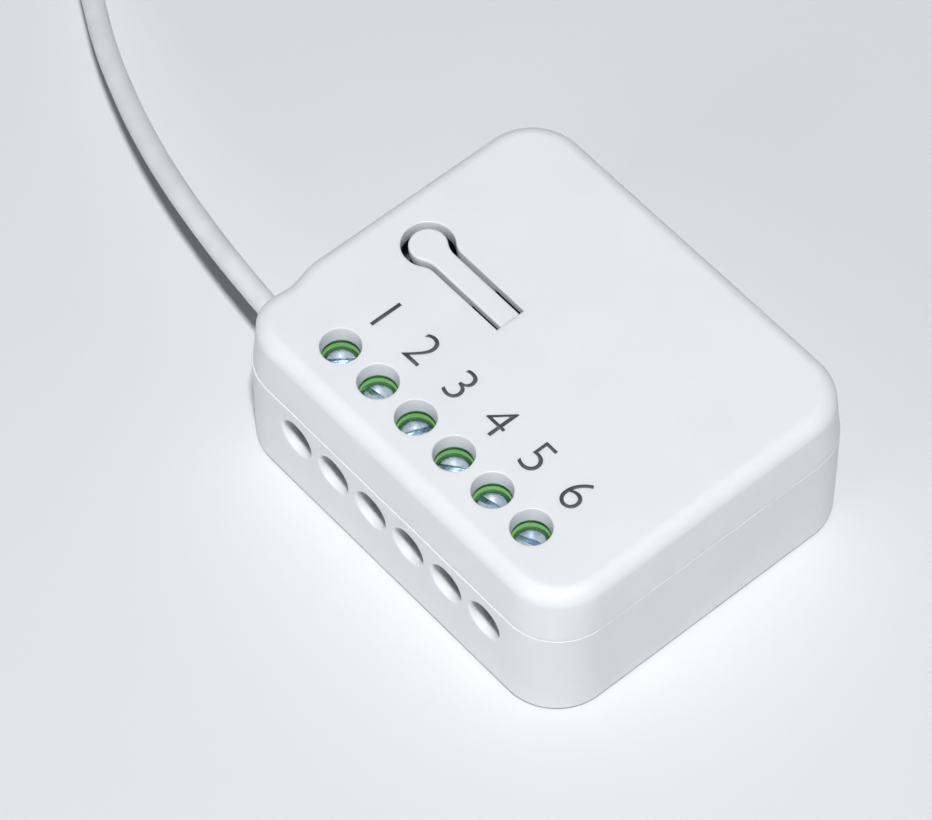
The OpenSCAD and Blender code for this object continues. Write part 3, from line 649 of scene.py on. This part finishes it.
def makeTongue():
    low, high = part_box("push_tongue")
    plate = keyholePlate("pushTongue", 0, 0, high.z - tongue["thick"], case["top"])
    middleX = high.x - tongue["length"]
    nubTop = high.z - tongue["thick"] / 2
    nub = rod("nub", tongue["nub"], (middleX, 0, low.z), (middleX, 0, nubTop), tongue["nubSides"])
    carve(plate, nub, "UNION")
    carve(plate, hingePocket(*tongue["armPocket"]))
    roundEdges(plate, tongue["edge"], case["rimSteps"], lambda e: level(e, case["top"]) and not atRoot(e))
    roundEdges(plate, case["edge"], case["edgeSteps"], lambda e: not atRoot(e))
    smoothOut(plate)
    seat(plate, "push_tongue", finishes["caseWhite"], "case_white", "push_tongue")
    print("tongue:", len(plate.data.polygons), "faces")


makeCover()
makeBase()
makeTongue()


# clamp screws

screw = {
    "head": 0.0016,
    "headHeight": 0.00135,
    "sink": 0.00025,
    "crown": 0.00035,
    "crownSteps": 6,
    "shank": 0.00125,
    "thread": 0.0005,
    "threadDepth": 0.09,
    "tip": 0.85,
    "slotWidth": 0.00055,
    "slotDepth": 0.0007,
    "edge": 0.0001,
    "edgeSteps": 3,
    "smoothAngle": 32,
    "slotTurns": [52, 8, 68, 38, 12, 24],
}


def makeScrew():
    # crowned head, then the shank ring by ring for its thread
    low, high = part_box("terminal_screw_1")
    middle = (low + high) / 2
    under = high.z - screw["headHeight"]
    top = high.z - screw["sink"]
    piece = rod("terminalScrew", screw["head"], (middle.x, middle.y, under), (middle.x, middle.y, top))
    roundEdges(piece, screw["crown"], screw["crownSteps"], lambda e: level(e, top))
    choose(piece, "FACE", lambda f: f.normal.z < -0.9)
    bpy.ops.mesh.inset(thickness=screw["head"] - screw["shank"])
    turns = int((under - low.z) / screw["thread"])
    step = (under - low.z) / turns / 2
    for turn in range(2 * turns):
        size = 1 - screw["threadDepth"] if turn % 2 == 0 else 1 / (1 - screw["threadDepth"])
        height = under - (turn + 1) * step
        bpy.ops.mesh.extrude_region_move(TRANSFORM_OT_translate={"value": (0, 0, -step)})
        bpy.ops.transform.resize(value=(size, size, 1), center_override=(middle.x, middle.y, height))
    tip = screw["tip"]
    bpy.ops.transform.resize(value=(tip, tip, 1), center_override=(middle.x, middle.y, low.z))
    leaveEdit()
    reach = 2 * screw["head"]
    half = screw["slotWidth"] / 2
    floor = top - screw["slotDepth"]
    cutter = block("slot", (middle.x - reach, middle.y - half, floor),
                   (middle.x + reach, middle.y + half, 2 * high.z))
    carve(piece, cutter)
    lowest = under - samePlace
    roundEdges(piece, screw["edge"], screw["edgeSteps"], lambda e: all(v.co.z > lowest for v in e.verts))
    pickOnly(piece)
    bpy.ops.object.shade_smooth_by_angle(angle=math.radians(screw["smoothAngle"]))
    return piece, middle


def makeScrews():
    first, middle = makeScrew()
    for number, turn in enumerate(screw["slotTurns"], start=1):
        piece = first.copy()
        piece.data = first.data.copy()
        piece.name = f"terminalScrew{number}"
        bpy.context.scene.collection.objects.link(piece)
        choose(piece, "VERT", lambda v: True)
        bpy.ops.transform.rotate(value=-math.radians(turn), orient_axis="Z", center_override=middle)
        bpy.ops.transform.translate(value=screwPlace(number) - middle)
        leaveEdit()
        node = f"terminal_screw_{number}"
        seat(piece, node, finishes["screwPlate"], "zinc_steel", node)
    bpy.data.objects.remove(first, do_unlink=True)
    print("screws:", len(screw["slotTurns"]))


makeScrews()


# printed terminal numbers

def makeNumbers():
    marks = []
    for number in ways:
        bpy.ops.object.select_all(action="DESELECT")
        bpy.ops.object.text_add(location=(0, 0, 0))
        mark = bpy.context.object
        mark.data.body = str(number)
        mark.data.align_x = "CENTER"
        mark.data.align_y = "CENTER"
        mark.data.size = 1
        mark.data.offset = numbers["thinner"]
        bpy.ops.object.convert(target="MESH")
        tall = max(v.co.y for v in mark.data.vertices) - min(v.co.y for v in mark.data.vertices)
        scale = numbers["height"] / tall
        place = screwPlace(number)
        mark.scale = (scale, scale, 1)
        mark.location = (place.x, place.y + numbers["ahead"], case["top"])
        settle(mark)
        choose(mark, "FACE", lambda f: True)
        bpy.ops.mesh.extrude_region_move(TRANSFORM_OT_translate={"value": (0, 0, numbers["film"])})
        bpy.ops.mesh.select_all(action="SELECT")
        bpy.ops.mesh.normals_make_consistent(inside=False)
        leaveEdit()
        marks.append(mark)
    printed = joinPieces("terminalNumbers", marks)
    seat(printed, "module", finishes["printInk"], "case_white")
    print("numbers printed")


makeNumbers()


# finishes of the solids that stay

solidFinishes = {
    "boardMask": ["circuit_board"],
    "radioMask": ["radio_board"],
    "terminalGreen": ["terminal_block_left", "terminal_block_right"],
    "tinnedBrass": ["terminal_contacts", "tact_legs", "relay_contact_leaf", "relay_fixed_contact",
                    "relay_pins", "radio_pins", "transformer_pins"],
    "zincPlate": [f"wire_cage_{number}" for number in ways] + ["tact_frame", "radio_shield"],
    "blackMoulding": ["tact_housing", "tact_plunger", "relay_base", "rectifier"],
    "relayShell": ["relay_cover"],
    "copperWire": ["relay_coil"],
    "softIron": ["relay_core", "relay_armature"],
    "ferriteGrey": ["transformer_core"],
    "windingTape": ["transformer_coil"],
    "canSleeve": ["bulk_capacitor", "output_capacitor"],
    "dippedBlue": ["varistor"],
    "coatedGreen": ["fusible_resistor"],
    "sleeveWhite": ["aerial_lead"],
}
for finishName, nodeNames in solidFinishes.items():
    for nodeName in nodeNames:
        solid = cadNodes[nodeName]
        solid.data.materials.clear()
        solid.data.materials.append(finishes[finishName])
print("solids finished:", sum(len(names) for names in solidFinishes.values()))


# floor and light

studio = {
    "floorColour": (0.715, 0.742, 0.765),
    "floorRough": (0.6, 0.7),
    "floorSize": 6,
    "floorDrop": 0.00003,
    "sky": (0.98, 0.99, 1.0),
    "horizonLevel": 0.28,
    "zenithLevel": 0.02,
    "horizonRise": 25,
    "seenHorizon": 0.75,
    "seenZenith": 0.5,
    "lamps": [
        {"name": "keyLamp", "rise": 68, "turn": 51, "away": 0.9, "size": 0.08, "level": 0.995},
        {"name": "fillLamp", "rise": 22, "turn": 5, "away": 1.2, "size": 0.6, "level": 0.14},
    ],
}


def makeFloor():
    bpy.ops.object.select_all(action="DESELECT")
    bpy.ops.mesh.primitive_plane_add(size=studio["floorSize"], location=(0, 0, -studio["floorDrop"]))
    floor = bpy.context.object
    floor.name = "studioFloor"
    settle(floor)
    colour = studio["floorColour"]
    floor.data.materials.append(mouldedFinish("studioFloor", colour, colour, studio["floorRough"]))


def makeSky():
    # light mostly from the walls of the room; a brighter room is only seen and mirrored
    world = bpy.data.worlds.new("studioSky")
    world.use_nodes = True
    tree = world.node_tree
    shining = tree.nodes["Background"]
    seen = tree.nodes.new("ShaderNodeBackground")
    place = tree.nodes.new("ShaderNodeTexCoord")
    part = tree.nodes.new("ShaderNodeSeparateXYZ")
    tree.links.new(place.outputs["Generated"], part.inputs["Vector"])
    levels = {shining: ("horizonLevel", "zenithLevel"), seen: ("seenHorizon", "seenZenith")}
    for backdrop, (horizon, zenith) in levels.items():
        backdrop.inputs["Color"].default_value = (*studio["sky"], 1)
        fade = tree.nodes.new("ShaderNodeMapRange")
        fade.inputs["From Max"].default_value = math.sin(math.radians(studio["horizonRise"]))
        fade.inputs["To Min"].default_value = studio[horizon]
        fade.inputs["To Max"].default_value = studio[zenith]
        tree.links.new(part.outputs["Z"], fade.inputs["Value"])
        tree.links.new(fade.outputs["Result"], backdrop.inputs["Strength"])
    rays = tree.nodes.new("ShaderNodeLightPath")
    looking = rays.outputs["Is Camera Ray"]
    for label in ("Is Glossy Ray", "Is Transmission Ray"):
        either = tree.nodes.new("ShaderNodeMath")
        either.operation = "MAXIMUM"
        tree.links.new(looking, either.inputs[0])
        tree.links.new(rays.outputs[label], either.inputs[1])
        looking = either.outputs["Value"]
    mix = tree.nodes.new("ShaderNodeMixShader")
    tree.links.new(looking, mix.inputs["Fac"])
    tree.links.new(shining.outputs["Background"], mix.inputs[1])
    tree.links.new(seen.outputs["Background"], mix.inputs[2])
    tree.links.new(mix.outputs["Shader"], tree.nodes["World Output"].inputs["Surface"])
    bpy.context.scene.world = world


def makeLamp(look):
    # round soft lamp that faces the case; turn runs from the terminal side to the right
    rise, turn = math.radians(look["rise"]), math.radians(look["turn"])
    way = Vector((math.cos(rise) * math.sin(turn), -math.cos(rise) * math.cos(turn), math.sin(rise)))
    lamp = bpy.data.lights.new(look["name"], "AREA")
    lamp.shape = "DISK"
    lamp.size = look["size"]
    lamp.energy = look["level"] * (math.pi * look["away"]) ** 2
    holder = bpy.data.objects.new(look["name"], lamp)
    bpy.context.scene.collection.objects.link(holder)
    holder.location = way * look["away"]
    holder.rotation_mode = "QUATERNION"
    holder.rotation_quaternion = way.to_track_quat("Z", "Y")


makeFloor()
makeSky()
for lampLook in studio["lamps"]:
    makeLamp(lampLook)
bpy.context.scene.view_settings.view_transform = "Standard"
print("studio lit")
